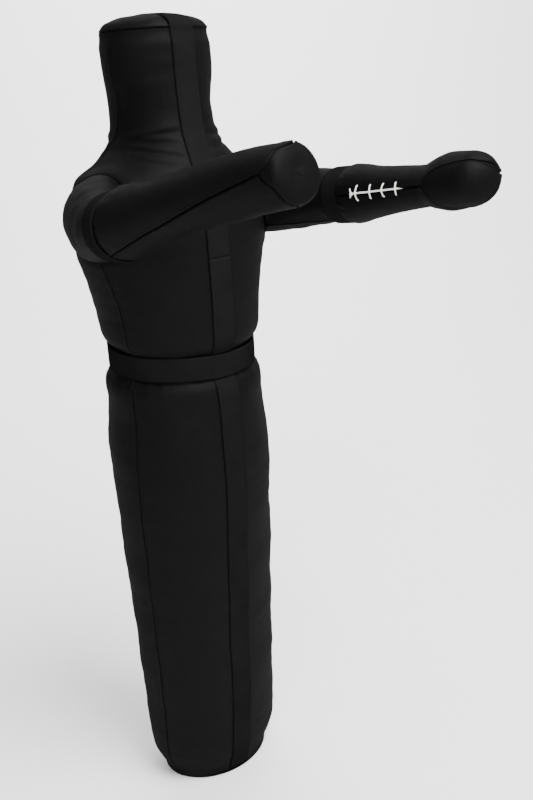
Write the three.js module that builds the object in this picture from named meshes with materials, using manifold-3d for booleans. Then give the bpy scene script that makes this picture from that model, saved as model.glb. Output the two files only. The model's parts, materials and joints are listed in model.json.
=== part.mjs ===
// Grappling dummy: a standing, legless training figure with a head and two
// outstretched arms. Leather panels are sewn over firm fillings, with webbing
// straps up the middle, round the waist and round the elbows.
//
// Millimetres, +Z up. The dummy faces -Y and its right side is at -X.
// The origin is the centre of the flat base.

import * as THREE from 'three';
import { mergeVertices } from 'three/addons/utils/BufferGeometryUtils.js';
import Module from 'manifold-3d';

const wasm = await Module();
wasm.setup();

// ---------------------------------------------------------------- dimensions

const HEIGHT = 1750;
const LEATHER = 2; // thickness of a leather panel
const WEBBING = 2; // thickness of the webbing
const STRAP_WIDTH = 50; // width of every webbing strap
const GAP = 0.3; // clearance between neighbouring pieces
const SEAM_GAP = 0.6; // width of the open line between two panels
const FACET_SAG = 3; // most that a body panel's flat facets sag below its curve
const LIMB_SAG = 1.5; // the same for the thinner arms

// Half width, half depth of the body at each height, from the base up.
const BODY_PROFILE = [
  { z: 0, w: 136, d: 108 },
  { z: 14, w: 150, d: 119 },
  { z: 90, w: 165, d: 128 },
  { z: 260, w: 167, d: 147 },
  { z: 470, w: 171, d: 159 },
  { z: 680, w: 175, d: 176 },
  { z: 840, w: 177, d: 186 },
  { z: 960, w: 167, d: 186 },
  { z: 1030, w: 160, d: 175 },
  { z: 1052, w: 153, d: 169 },
  { z: 1104, w: 153, d: 169 },
  { z: 1125, w: 159, d: 174 },
  { z: 1205, w: 176, d: 182 },
  { z: 1341, w: 205, d: 181 },
  { z: 1405, w: 204, d: 170 },
  { z: 1446, w: 190, d: 158 },
  { z: 1480, w: 142, d: 144 },
  { z: 1509, w: 112, d: 132 },
  { z: 1540, w: 98, d: 122 },
  { z: 1585, w: 96, d: 117 },
  { z: 1640, w: 105, d: 113 },
  { z: 1690, w: 108, d: 111 },
  { z: 1718, w: 104, d: 106 },
];

const WAIST = { z: 1078, low: 1030, high: 1125 };
const NECK = { z: 1540, low: 1495, high: 1585 };
const BASE_THICKNESS = 3;
const CAP_SEAM = 1718; // height of the seam below the domed cap
const CAP_RISE = HEIGHT - CAP_SEAM;
const DOME_POWER = 2.6; // how square the shoulder of the dome is
const DOME_RISES = [0.35, 0.6, 0.78, 0.9, 0.97]; // shares of the rise that get a ring

// Seam angles round the body, in degrees from the front centre line.
const SIDE_SEAM = 71; // side seam of the legs and of the torso
const SHOULDER_SEAM = 100; // seam from the neck over the shoulder
const SHOULDER_SEAM_LOW = 1405; // below this the armhole has taken its place
const HEAD_SEAM = 86; // side seam of the head
const GUSSET_BACK = 90; // back edge of the underarm gusset
const GUSSET_LOW = 1240;
const GUSSET_HIGH = 1330;

// Arms. Every point is given for the left side; the right arm mirrors x.
const SHOULDER = new THREE.Vector3(186, -54, 1389);
const SOCKET = 88; // radius of the hollow in the torso at each shoulder
const SHOULDER_BALL = 78;
const ELBOW_BALL = 44;
const ELBOW_PLAY = 1.6;
const ELBOW_NECK = { at: 20, radius: 40, end: 55 }; // where the forearm's filling leaves its ball
const BAND_REACH = 42; // the tilted band reaches this far along each half of the arm
const BAND_SQUEEZE = 8; // how much the band narrows the filling
const CUP_DEPTH = 30; // the cup for the elbow ball starts this far before it

// Distance from the shoulder, half width, half height.
const SHOULDER_STATIONS = [
  [0, 48, 50],
  [75, 48, 50],
];
const SLEEVE_STATIONS = [
  [64, 63, 68],
  [110, 61, 66],
];
const ARM_MIDDLE = 130; // the upper arm has its even thickness from here on
const ARMS = {
  right: {
    side: -1,
    elbow: new THREE.Vector3(243, -255, 1400),
    hand: new THREE.Vector3(197, -693, 1507),
    band: 60,
    knot: 114, // distance from the elbow to the lacing's knot
    // Share of the forearm's length, half width, half height.
    forearm: [
      [0, 53, 54],
      [0.12, 51, 52],
      [0.3, 49, 50],
      [0.5, 47, 48],
      [0.7, 46, 47],
      [0.87, 44, 45],
      [0.94, 42, 43],
      [0.985, 39, 40],
      [1, 30, 31],
    ],
  },
  left: {
    side: 1,
    elbow: new THREE.Vector3(240, -289, 1400.5),
    hand: new THREE.Vector3(199, -673, 1460),
    band: 55,
    knot: 80,
    forearm: [
      [0, 48, 49],
      [0.2, 43, 44],
      [0.41, 40, 41],
      [0.56, 36, 37],
      [0.63, 35, 36],
      [0.69, 41, 42],
      [0.78, 47, 48],
      [0.88, 44, 45],
      [0.946, 37, 38],
      [1, 22, 23],
    ],
  },
};

// Lacing of the slit on the inner side of each forearm.
const LACING = {
  pitch: 36, // distance between the cross stitches
  stitches: 4,
  first: 9, // distance from the knot to the first stitch
  reach: 14, // how far a stitch reaches on each side of the slit
  lace: 2, // radius of the lace
};

// Seams of the forearm, as angles from its inner side over the top.
const LOWER_SEAM = 205; // between the outer panel and the under panel
const PALM = { start: 0.74, half: 55, lap: 3 }; // share of the forearm, half angle, overlap
const LIMB_SEAM = 1; // half of the open line between two panels of an arm, in degrees
const SLIT = 0.3; // open line of a panel that goes all the way round, in degrees

// Mesh density.
const RING = 36; // facets round a whole filling
const LIMB_RING = 20; // facets round an arm
const LIMB_STEP = 20; // degrees to one facet of an arm's panel
const BALL = 20; // facets round a ball
const PANEL_STEP = 15; // degrees to one facet of a body panel
const STRAP_STEPS = 4; // facets across a strap
const LEVEL_MARGIN = 12; // rings keep this far from the ends of a piece

// ----------------------------------------------------------------- materials

function leather(name) {
  return new THREE.MeshStandardMaterial({ name, color: 0x0f0f10, roughness: 0.5, metalness: 0 });
}

function webbing(name) {
  return new THREE.MeshStandardMaterial({ name, color: 0x0c0c0d, roughness: 0.9, metalness: 0 });
}

function filling(name) {
  return new THREE.MeshStandardMaterial({ name, color: 0x8d8a84, roughness: 1, metalness: 0 });
}

function laceCord(name) {
  return new THREE.MeshStandardMaterial({ name, color: 0xe4e3df, roughness: 0.8, metalness: 0 });
}

// ------------------------------------------------------------- solids helpers

const toRadians = THREE.MathUtils.degToRad;

function makeGeometry(vertices, triangles) {
  const geometry = new THREE.BufferGeometry();
  geometry.setAttribute('position', new THREE.Float32BufferAttribute(vertices, 3));
  geometry.setIndex(triangles);
  return geometry;
}

// A slab between two surfaces. skin(u, v, layer) gives a point for u and v from
// 0 to 1, with layer 1 on the outer surface and layer 0 on the inner one.
function slab(skin, uSteps, vSteps) {
  const vertices = [];
  const triangles = [];
  const row = uSteps + 1;
  const sheet = row * (vSteps + 1);
  for (const layer of [1, 0]) {
    for (let v = 0; v <= vSteps; v++) {
      for (let u = 0; u <= uSteps; u++) {
        vertices.push(...skin(u / uSteps, v / vSteps, layer).toArray());
      }
    }
  }
  const quad = (a, b, c, d) => triangles.push(a, b, c, a, c, d);
  const at = (u, v, layer) => (1 - layer) * sheet + v * row + u;
  for (let v = 0; v < vSteps; v++) {
    for (let u = 0; u < uSteps; u++) {
      quad(at(u, v, 1), at(u + 1, v, 1), at(u + 1, v + 1, 1), at(u, v + 1, 1));
      quad(at(u, v, 0), at(u, v + 1, 0), at(u + 1, v + 1, 0), at(u + 1, v, 0));
    }
  }
  for (let u = 0; u < uSteps; u++) {
    quad(at(u, 0, 0), at(u + 1, 0, 0), at(u + 1, 0, 1), at(u, 0, 1));
    quad(at(u, vSteps, 1), at(u + 1, vSteps, 1), at(u + 1, vSteps, 0), at(u, vSteps, 0));
  }
  for (let v = 0; v < vSteps; v++) {
    quad(at(0, v, 1), at(0, v + 1, 1), at(0, v + 1, 0), at(0, v, 0));
    quad(at(uSteps, v, 0), at(uSteps, v + 1, 0), at(uSteps, v + 1, 1), at(uSteps, v, 1));
  }
  return makeGeometry(vertices, triangles);
}

// A solid skinned over closed rings. ring(i, t) gives the point at the share t
// of ring i; both ends are closed by flat fans.
function loft(ring, rings, segments) {
  const vertices = [];
  const triangles = [];
  for (let i = 0; i < rings; i++) {
    for (let s = 0; s < segments; s++) {
      vertices.push(...ring(i, s / segments).toArray());
    }
  }
  for (let i = 0; i + 1 < rings; i++) {
    for (let s = 0; s < segments; s++) {
      const next = (s + 1) % segments;
      const a = i * segments + s;
      const b = i * segments + next;
      triangles.push(a, b, b + segments, a, b + segments, a + segments);
    }
  }
  const last = (rings - 1) * segments;
  for (let s = 1; s + 1 < segments; s++) {
    triangles.push(0, s + 1, s);
    triangles.push(last, last + s, last + s + 1);
  }
  return makeGeometry(vertices, triangles);
}

// A ring with a rectangular section, such as a belt. edge(t, high, outer)
// gives the four corners of the section at the share t of the way round.
function hoop(edge, segments) {
  const vertices = [];
  const triangles = [];
  for (let s = 0; s < segments; s++) {
    const t = s / segments;
    for (const [high, outer] of [[0, 0], [0, 1], [1, 1], [1, 0]]) {
      vertices.push(...edge(t, high, outer).toArray());
    }
  }
  for (let s = 0; s < segments; s++) {
    const here = s * 4;
    const there = ((s + 1) % segments) * 4;
    for (let c = 0; c < 4; c++) {
      const next = (c + 1) % 4;
      triangles.push(here + c, there + c, there + next, here + c, there + next, here + next);
    }
  }
  return makeGeometry(vertices, triangles);
}

function toSolid(geometry) {
  const plain = geometry.clone();
  plain.deleteAttribute('normal');
  plain.deleteAttribute('uv');
  const merged = mergeVertices(plain, 1e-4);
  return new wasm.Manifold(
    new wasm.Mesh({
      numProp: 3,
      vertProperties: new Float32Array(merged.attributes.position.array),
      triVerts: new Uint32Array(merged.index.array),
    }),
  );
}

function fromSolid(solid) {
  const mesh = solid.getMesh();
  return makeGeometry(Array.from(mesh.vertProperties), Array.from(mesh.triVerts));
}

function cut(geometry, ...tools) {
  let solid = toSolid(geometry);
  for (const tool of tools) {
    solid = solid.subtract(toSolid(tool));
  }
  return fromSolid(solid);
}

function join(...geometries) {
  let solid = toSolid(geometries[0]);
  for (const geometry of geometries.slice(1)) {
    solid = solid.add(toSolid(geometry));
  }
  return fromSolid(solid);
}

function ball(radius, centre, segments = BALL) {
  const geometry = new THREE.SphereGeometry(radius, segments, segments / 2);
  geometry.translate(centre.x, centre.y, centre.z);
  return geometry;
}

// --------------------------------------------------------------- body surface

const heights = BODY_PROFILE.map((p) => p.z);

// Smooth value of one column of the profile at height z (monotone cubic).
function profileAt(column, z) {
  const last = BODY_PROFILE.length - 1;
  const value = (i) => BODY_PROFILE[THREE.MathUtils.clamp(i, 0, last)][column];
  let i = 0;
  while (i < last - 1 && heights[i + 1] < z) {
    i++;
  }
  const slopeAt = (k) => {
    if (k <= 0 || k >= last) {
      return 0;
    }
    const before = (value(k) - value(k - 1)) / (heights[k] - heights[k - 1]);
    const after = (value(k + 1) - value(k)) / (heights[k + 1] - heights[k]);
    return before * after > 0 ? (2 * before * after) / (before + after) : 0;
  };
  const span = heights[i + 1] - heights[i];
  const t = THREE.MathUtils.clamp((z - heights[i]) / span, 0, 1);
  const t2 = t * t;
  const t3 = t2 * t;
  return (
    value(i) * (2 * t3 - 3 * t2 + 1) +
    slopeAt(i) * span * (t3 - 2 * t2 + t) +
    value(i + 1) * (3 * t2 - 2 * t3) +
    slopeAt(i + 1) * span * (t3 - t2)
  );
}

// Point on the body, turned by an angle from the front centre towards +X and
// moved out by an offset.
function bodyPoint(degrees, z, offset = 0) {
  const angle = toRadians(degrees);
  const w = profileAt('w', z) + offset;
  const d = profileAt('d', z) + offset;
  return new THREE.Vector3(w * Math.sin(angle), -d * Math.cos(angle), z);
}

// Heights of the rings between two levels: the levels and the profile's own.
function levelsBetween(low, high) {
  const inner = heights.filter((z) => z > low + LEVEL_MARGIN && z < high - LEVEL_MARGIN);
  return [low, ...inner, high];
}

// A leather panel on the body between two seam angles and two heights.
function bodyPanel(from, to, low, high) {
  const levels = levelsBetween(low, high);
  const steps = Math.max(1, Math.round(Math.abs(to - from) / PANEL_STEP));
  const skin = (u, v, layer) => {
    const z = levels[Math.round(v * (levels.length - 1))];
    const edge = THREE.MathUtils.radToDeg(SEAM_GAP / 2 / profileAt('w', z));
    const angle = THREE.MathUtils.lerp(from + edge, to - edge, u);
    return bodyPoint(angle, z, -(1 - layer) * LEATHER);
  };
  return slab(skin, steps, levels.length - 1);
}

// One sheet of leather all round the body between two heights.
function bodyWrap(low, high) {
  const levels = levelsBetween(low, high);
  const skin = (u, v, layer) => {
    const z = levels[Math.round(v * (levels.length - 1))];
    return bodyPoint(u * (360 - SLIT), z, -(1 - layer) * LEATHER);
  };
  return slab(skin, RING, levels.length - 1);
}

// A filling that follows the body inside its leather.
function bodyFilling(low, high) {
  const levels = levelsBetween(low, high);
  const inset = LEATHER + GAP + FACET_SAG;
  const ring = (i, t) => bodyPoint(t * 360, levels[i], -inset);
  return loft(ring, levels.length, RING);
}

// A webbing strap that lies on the body along the front or the back centre.
function bodyStrap(centre, low, high) {
  const levels = levelsBetween(low, high);
  const offset = GAP + WEBBING;
  const skin = (u, v, layer) => {
    const z = levels[Math.round(v * (levels.length - 1))];
    const half = THREE.MathUtils.radToDeg(Math.asin(STRAP_WIDTH / 2 / profileAt('w', z)));
    return bodyPoint(centre + (2 * u - 1) * half, z, offset - (1 - layer) * WEBBING);
  };
  return slab(skin, STRAP_STEPS, levels.length - 1);
}

// ----------------------------------------------------------------- assembling

const dummy = new THREE.Group();

function add(name, geometry, material) {
  const mesh = new THREE.Mesh(geometry, material(name));
  mesh.name = name;
  dummy.add(mesh);
}

// Four panels, left and right of the centre seams in front and behind.
function addQuarters(part, sideSeam, low, high) {
  for (const [name, side] of [['right', -1], ['left', 1]]) {
    const span = (a, b) => (side < 0 ? [-b, -a] : [a, b]);
    add(`${part}_front_${name}_panel`, bodyPanel(...span(0, sideSeam), low, high), leather);
    add(`${part}_back_${name}_panel`, bodyPanel(...span(sideSeam, 180), low, high), leather);
  }
}

// ----------------------------------------------------------------------- legs

function addLegs() {
  const base = new THREE.CylinderGeometry(1, 1, BASE_THICKNESS, RING);
  base.rotateX(Math.PI / 2);
  base.scale(BODY_PROFILE[0].w, BODY_PROFILE[0].d, 1);
  base.translate(0, 0, BASE_THICKNESS / 2);
  add('base_panel', base, leather);

  const foot = BASE_THICKNESS + GAP;
  const top = WAIST.low - GAP;
  add('leg_filling', bodyFilling(foot, top), filling);
  addQuarters('leg', SIDE_SEAM, foot, top);
  const strapFoot = BODY_PROFILE[1].z;
  add('leg_front_strap', bodyStrap(0, strapFoot, top), webbing);
  add('leg_back_strap', bodyStrap(180, strapFoot, top), webbing);
}

// ---------------------------------------------------------------------- waist

function addWaist() {
  add('waist_filling', bodyFilling(WAIST.low, WAIST.high), filling);
  add('waist_gather', bodyWrap(WAIST.low, WAIST.high), leather);

  const inner = WEBBING + 2 * GAP;
  const belt = (t, high, outer) => {
    const z = WAIST.z + (high - 0.5) * STRAP_WIDTH;
    const flat = bodyPoint(t * 360, WAIST.z, inner + outer * WEBBING);
    return flat.setZ(z);
  };
  add('waist_belt', hoop(belt, RING), webbing);
}

// ---------------------------------------------------------------------- torso

function addTorso(sockets) {
  const low = WAIST.high + GAP;
  const high = NECK.low - GAP;
  add('torso_filling', cut(bodyFilling(low, high), ...sockets), filling);

  for (const [name, side] of [['right', -1], ['left', 1]]) {
    const span = (a, b) => (side < 0 ? [-b, -a] : [a, b]);
    const panel = (a, b, from, to) => toSolid(bodyPanel(...span(a, b), from, to));
    const trim = (solid) => fromSolid(sockets.reduce((rest, s) => rest.subtract(toSolid(s)), solid));

    const lap = 1; // the stretches of one panel overlap by this much before they join
    const front = panel(0, SIDE_SEAM, low, high)
      .add(panel(SIDE_SEAM - lap, SHOULDER_SEAM, SHOULDER_SEAM_LOW, high));
    const back = panel(SIDE_SEAM, 180, low, GUSSET_LOW)
      .add(panel(GUSSET_BACK, 180, GUSSET_LOW - lap, SHOULDER_SEAM_LOW + lap))
      .add(panel(SHOULDER_SEAM, 180, SHOULDER_SEAM_LOW, high));
    add(`torso_front_${name}_panel`, trim(front), leather);
    add(`torso_back_${name}_panel`, trim(back), leather);
    const gusset = panel(SIDE_SEAM, GUSSET_BACK, GUSSET_LOW + GAP, GUSSET_HIGH);
    add(`${name}_underarm_gusset`, trim(gusset), leather);
  }
  add('chest_strap', bodyStrap(0, low, high), webbing);
  add('back_strap', bodyStrap(180, low, high), webbing);
}

// ----------------------------------------------------------------------- neck

function addNeck() {
  add('neck_filling', bodyFilling(NECK.low, NECK.high), filling);
  add('neck_wrap', bodyWrap(NECK.low, NECK.high), leather);
}

// ----------------------------------------------------------------------- head

// Share of the seam's width and depth that the domed cap keeps at height z.
function domeScale(z) {
  const rise = THREE.MathUtils.clamp((z - CAP_SEAM) / CAP_RISE, 0, 1);
  return Math.sqrt(Math.max(0, 1 - rise ** DOME_POWER));
}

function domePoint(degrees, z) {
  const edge = bodyPoint(degrees, CAP_SEAM);
  const scale = domeScale(z);
  return new THREE.Vector3(edge.x * scale, edge.y * scale, z);
}

function addHead() {
  const low = NECK.high + GAP;
  const top = CAP_SEAM - GAP;
  add('head_filling', bodyFilling(low, top - LEATHER), filling);
  addQuarters('head', HEAD_SEAM, low, top);

  const rises = [0, ...DOME_RISES];
  const cap = (i, t) => domePoint(t * 360, CAP_SEAM + rises[i] * CAP_RISE);
  add('head_cap_panel', loft(cap, rises.length, RING), leather);
}

// The strap over the head: up the face, over the cap and down the back.
function addHeadStrap() {
  const low = NECK.high + GAP;
  const outer = GAP + WEBBING;
  const path = levelsBetween(low, CAP_SEAM).map((z) => ({ y: -profileAt('d', z), z, up: 0 }));
  for (const rise of DOME_RISES) {
    const z = CAP_SEAM + rise * CAP_RISE;
    path.push({ y: -profileAt('d', CAP_SEAM) * domeScale(z), z, up: rise });
  }
  const back = path.map((p) => ({ ...p, y: -p.y })).reverse();
  const whole = [...path, ...back];
  const skin = (u, v, layer) => {
    const p = whole[Math.round(v * (whole.length - 1))];
    const lift = outer - (1 - layer) * WEBBING;
    const across = (u - 0.5) * STRAP_WIDTH;
    const w = profileAt('w', Math.min(p.z, CAP_SEAM));
    const bow = Math.sqrt(1 - (across / w) ** 2);
    const reach = Math.abs(p.y) + lift * (1 - p.up * 0.5);
    const y = Math.sign(p.y) * reach * (p.up > 0.5 ? 1 : bow);
    return new THREE.Vector3(across, y, p.z + lift * p.up);
  };
  add('head_strap', slab(skin, STRAP_STEPS, whole.length - 1), webbing);
}

// ----------------------------------------------------------------------- arms

// A frame with its Z axis from one point to another and its X axis level.
function axisFrame(from, to) {
  const z = to.clone().sub(from).normalize();
  const x = new THREE.Vector3(0, 0, 1).cross(z).normalize();
  const y = z.clone().cross(x);
  return new THREE.Matrix4().makeBasis(x, y, z).setPosition(from);
}

// A round solid along the frame's axis: stations are [distance, half width,
// half height].
function limb(stations, frame, segments = LIMB_RING) {
  const ring = (i, t) => {
    const [along, w, h] = stations[i];
    const angle = t * 2 * Math.PI;
    return new THREE.Vector3(w * Math.cos(angle), h * Math.sin(angle), along).applyMatrix4(frame);
  };
  return loft(ring, stations.length, segments);
}

// A leather panel round part of a limb, between two angles in degrees.
function limbPanel(stations, frame, from, to) {
  const steps = Math.max(2, Math.round((to - from) / LIMB_STEP));
  const skin = (u, v, layer) => {
    const [along, w, h] = stations[Math.round(v * (stations.length - 1))];
    const angle = toRadians(THREE.MathUtils.lerp(from, to, u));
    const inset = (1 - layer) * LEATHER;
    return new THREE.Vector3(
      (w - inset) * Math.cos(angle),
      (h - inset) * Math.sin(angle),
      along,
    ).applyMatrix4(frame);
  };
  return slab(skin, steps, stations.length - 1);
}

// The stations between two distances along a limb, with both ends worked out.
function stationsBetween(stations, from, to) {
  const at = (along) => {
    const after = Math.max(1, stations.findIndex(([s]) => s >= along));
    const [a, wa, ha] = stations[after - 1];
    const [b, wb, hb] = stations[after];
    const t = (along - a) / (b - a);
    return [along, THREE.MathUtils.lerp(wa, wb, t), THREE.MathUtils.lerp(ha, hb, t)];
  };
  const inside = stations.filter(([s]) => s > from + 1 && s < to - 1);
  return [at(from), ...inside, at(to)];
}

function mirrored(point, side) {
  return new THREE.Vector3(point.x * side, point.y, point.z);
}

function addUpperArm(name, arm) {
  const shoulder = mirrored(SHOULDER, arm.side);
  const elbow = mirrored(arm.elbow, arm.side);
  const length = shoulder.distanceTo(elbow);
  const frame = axisFrame(shoulder, elbow);
  const flesh = arm.band - WEBBING - GAP;

  // Filling: a ball in the shoulder and a tapering arm with a cup for the elbow.
  const core = flesh - LEATHER - GAP - LIMB_SAG;
  const squeezed = core - BAND_SQUEEZE;
  const fillingStations = [
    ...SHOULDER_STATIONS,
    [ARM_MIDDLE, core, core],
    [length - BAND_REACH, core - 1, core - 1],
    [length - CUP_DEPTH, squeezed, squeezed],
  ];
  const whole = join(ball(SHOULDER_BALL, shoulder), limb(fillingStations, frame));
  add(`${name}_upper_arm_filling`, cut(whole, ball(ELBOW_BALL + ELBOW_PLAY, elbow)), filling);

  // Sleeve: one leather tube from the armhole to the middle of the band.
  const sleeveEnd = [length - BAND_REACH, flesh + LEATHER, flesh + 2 * LEATHER];
  const sleeve = limbPanel([...SLEEVE_STATIONS, sleeveEnd], frame, 0, 360 - SLIT);
  add(`${name}_sleeve_panel`, sleeve, leather);

  // The band faces half way between the upper arm and the forearm.
  const upper = elbow.clone().sub(shoulder).normalize();
  const lower = mirrored(arm.hand, arm.side).sub(elbow).normalize();
  const bandFrame = axisFrame(elbow, elbow.clone().add(upper).add(lower));
  const band = (t, high, outer) => {
    const radius = arm.band - (1 - outer) * WEBBING;
    const angle = t * 2 * Math.PI;
    const along = (high - 0.5) * STRAP_WIDTH;
    return new THREE.Vector3(radius * Math.cos(angle), radius * Math.sin(angle), along)
      .applyMatrix4(bandFrame);
  };
  add(`${name}_arm_band`, hoop(band, LIMB_RING), webbing);
}

function addForearm(name, arm) {
  const elbow = mirrored(arm.elbow, arm.side);
  const hand = mirrored(arm.hand, arm.side);
  const length = elbow.distanceTo(hand);
  const frame = axisFrame(elbow, hand);
  const outerStations = arm.forearm.map(([share, w, h]) => [share * length, w, h]);
  const inset = LEATHER + GAP + LIMB_SAG;
  const [, neckWidth, neckHeight] = outerStations[1];
  const core = [
    [ELBOW_NECK.at, ELBOW_NECK.radius, ELBOW_NECK.radius],
    [ELBOW_NECK.end, neckWidth - inset, neckHeight - inset],
  ];
  for (const [along, w, h] of outerStations.slice(1)) {
    const end = along > length - 1 ? inset : 0;
    core.push([along - end, w - inset, h - inset]);
  }
  const fillingSolid = join(ball(ELBOW_BALL, elbow), limb(core, frame));
  add(`${name}_forearm_filling`, fillingSolid, filling);

  // Three leather panels: over the top and outside, below, and a palm panel on
  // the inner side of the hand. Angles count from +X over the top towards -X.
  const first = [BAND_REACH, outerStations[0][1], outerStations[0][2]];
  const stations = [first, ...outerStations.slice(1)];
  const wrist = PALM.start * length;
  const wholeArm = stationsBetween(stations, BAND_REACH, wrist);
  const palmPart = stationsBetween(stations, wrist + GAP, length);
  const inner = arm.side > 0 ? 180 : 0;
  const turn = (relative) => (arm.side > 0 ? 180 - relative : relative);
  const span = (a, b) => [Math.min(turn(a), turn(b)), Math.max(turn(a), turn(b))];
  const panel = (list, a, b) => toSolid(limbPanel(list, frame, ...span(a, b)));
  const handPart = stationsBetween(stations, wrist - PALM.lap, length);
  const seam = LIMB_SEAM;
  const outer = panel(wholeArm, seam, LOWER_SEAM - seam)
    .add(panel(handPart, PALM.half + seam, LOWER_SEAM - seam));
  const under = panel(wholeArm, LOWER_SEAM + seam, 360 - seam)
    .add(panel(handPart, LOWER_SEAM + seam, 360 - PALM.half - seam));
  add(`${name}_forearm_outer_panel`, fromSolid(outer), leather);
  add(`${name}_forearm_under_panel`, fromSolid(under), leather);
  const palm = panel(palmPart, -PALM.half + seam, PALM.half - seam);
  add(`${name}_forearm_palm_panel`, fromSolid(palm), leather);

  add(`${name}_lacing`, lacing(stations, frame, toRadians(inner), arm.knot), laceCord);
}

// The lace: a straight run along the slit and short stitches across it.
function lacing(stations, frame, angle, start) {
  const away = new THREE.Vector3(Math.cos(angle), Math.sin(angle), 0);
  const across = new THREE.Vector3(-Math.sin(angle), Math.cos(angle), 0);
  const halfWidthAt = (along) => {
    const after = stations.findIndex(([s]) => s > along);
    const [a, wa] = stations[after - 1];
    const [b, wb] = stations[after];
    return wa + ((wb - wa) * (along - a)) / (b - a);
  };
  const point = (along, side) => {
    const radius = halfWidthAt(along) + LACING.lace + LIMB_SAG;
    const drop = radius - Math.sqrt(radius ** 2 - side ** 2);
    return away
      .clone()
      .multiplyScalar(radius - drop)
      .addScaledVector(across, side)
      .setZ(along)
      .applyMatrix4(frame);
  };
  const section = new THREE.Shape().absarc(0, 0, LACING.lace, 0, 2 * Math.PI);
  const tube = (points) => {
    const curve = new THREE.CatmullRomCurve3(points);
    const options = { steps: 4, curveSegments: 4, bevelEnabled: false, extrudePath: curve };
    return new THREE.ExtrudeGeometry(section, options);
  };
  const end = start + LACING.pitch * (LACING.stitches - 0.3);
  const run = [];
  for (let along = start; along <= end; along += LACING.pitch / 2) {
    run.push(point(along, 0));
  }
  const pieces = [tube(run)];
  for (let i = 0; i < LACING.stitches; i++) {
    const along = start + LACING.first + i * LACING.pitch;
    const stitch = [-1, -0.5, 0, 0.5, 1].map((s) => point(along + s, s * LACING.reach));
    pieces.push(tube(stitch));
  }
  pieces.push(ball(LACING.lace * 2, point(start, 0), 8));
  return join(...pieces);
}

// ------------------------------------------------------------------- the whole

const sockets = Object.values(ARMS).map((arm) => ball(SOCKET, mirrored(SHOULDER, arm.side)));
addLegs();
addWaist();
addTorso(sockets);
addNeck();
addHead();
addHeadStrap();
for (const [name, arm] of Object.entries(ARMS)) {
  addUpperArm(name, arm);
  addForearm(name, arm);
}

export default dummy;
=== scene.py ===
"""Looks of the grappling dummy: leather skins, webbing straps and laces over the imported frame.

Metres, +Z up. The dummy faces -Y and its right side is at -X. Angles round the body count from the
front centre line towards +X; angles round a forearm count from its inner side over the top.
"""

import json
import math

import bpy
import numpy as np
from mathutils import Matrix, Vector


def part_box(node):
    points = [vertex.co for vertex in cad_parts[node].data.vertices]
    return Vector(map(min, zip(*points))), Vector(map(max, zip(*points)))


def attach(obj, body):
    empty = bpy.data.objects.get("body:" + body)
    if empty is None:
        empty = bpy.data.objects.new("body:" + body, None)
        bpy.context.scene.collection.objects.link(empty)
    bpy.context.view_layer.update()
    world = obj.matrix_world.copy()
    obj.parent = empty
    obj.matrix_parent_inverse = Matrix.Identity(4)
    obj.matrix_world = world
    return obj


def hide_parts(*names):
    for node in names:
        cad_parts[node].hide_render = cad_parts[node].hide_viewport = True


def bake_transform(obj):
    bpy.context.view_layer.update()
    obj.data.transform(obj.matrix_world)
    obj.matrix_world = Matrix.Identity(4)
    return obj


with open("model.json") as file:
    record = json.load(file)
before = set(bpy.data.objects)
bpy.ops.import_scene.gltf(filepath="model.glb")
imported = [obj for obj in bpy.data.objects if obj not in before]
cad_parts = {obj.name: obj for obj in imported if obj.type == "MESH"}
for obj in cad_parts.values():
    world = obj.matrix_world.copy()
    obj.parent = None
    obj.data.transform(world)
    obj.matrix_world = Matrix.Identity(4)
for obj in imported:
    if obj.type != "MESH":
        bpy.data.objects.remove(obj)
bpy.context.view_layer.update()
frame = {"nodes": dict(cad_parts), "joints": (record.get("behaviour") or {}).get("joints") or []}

# ------------------------------------------------------------------ dimensions, in metres

LEATHER = 0.0022  # thickness of the leather
WEBBING = 0.0019  # thickness of the webbing
STRAP = 0.050  # width of the webbing
STRAP_LIFT = 0.0008  # height of the straps over the leather
STRAP_START = 0.012  # height at which the leg's straps start
STRAP_STEP = 0.006
STRAP_COLUMNS = 21
WEBBING_ROUNDING = 0.0009  # how far the edges of a strap fall away
YARN_PITCH = 0.0016  # of the webbing's weave
RIB_PITCH = 0.0011

SIDE_SEAM = 71.0  # degrees, for this and the next two
HEAD_SEAM = 85.0
SHOULDER_SEAM = 100.0
BODY_RADIUS = 0.17  # about the body's mean radius, which sets how many columns a panel has
CHEST_SPLIT = 1.300  # height at which the skins of the torso change over
BELT_TUCK = 0.004  # how far the leather goes in below the belt

GROOVE_DEPTH = 0.0030  # of a seam, with a low ridge beside it
GROOVE_WIDTH = 0.0012
RIDGE_RISE = 0.0010
RIDGE_PLACE = 0.0042
RIDGE_WIDTH = 0.0024

ARMHOLE_SHIFT = Vector((0, 0.006, 0))  # from the shoulder joint to the armhole's centre
ARMHOLE_RADIUS = 0.080
GUSSET_LOW, GUSSET_HIGH = 1.256, 1.322
GUSSET_REACH = 19.0  # degrees behind the side seam
GUSSET_THICKNESS = 0.0012
DOME_POWER = 2.6  # how square the dome of the head is

joints = {j["name"]: j for j in frame["joints"]}
WAIST = joints["waist_bend"]["pos_m"][2]
NECK = joints["neck_nod"]["pos_m"][2]
WAIST_LOW, WAIST_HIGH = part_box("waist_gather")[0].z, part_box("waist_gather")[1].z
NECK_LOW, NECK_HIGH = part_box("neck_wrap")[0].z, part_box("neck_wrap")[1].z
BELT_LOW, BELT_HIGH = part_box("waist_belt")[0].z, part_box("waist_belt")[1].z
BASE_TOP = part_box("base_panel")[1].z
CAP_LOW, CAP_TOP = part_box("head_cap_panel")[0].z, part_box("head_cap_panel")[1].z

# ------------------------------------------------------------------ camera, light and floor

CAMERA_PLACE = Vector((-0.9205, -1.616, 1.624))
CAMERA_HEADING = 0.615  # radians from +Y towards +X
CAMERA_PITCH = 0.351  # radians below the horizon
CAMERA_ROLL = 0.054
CAMERA_LENS = 39.6

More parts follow.
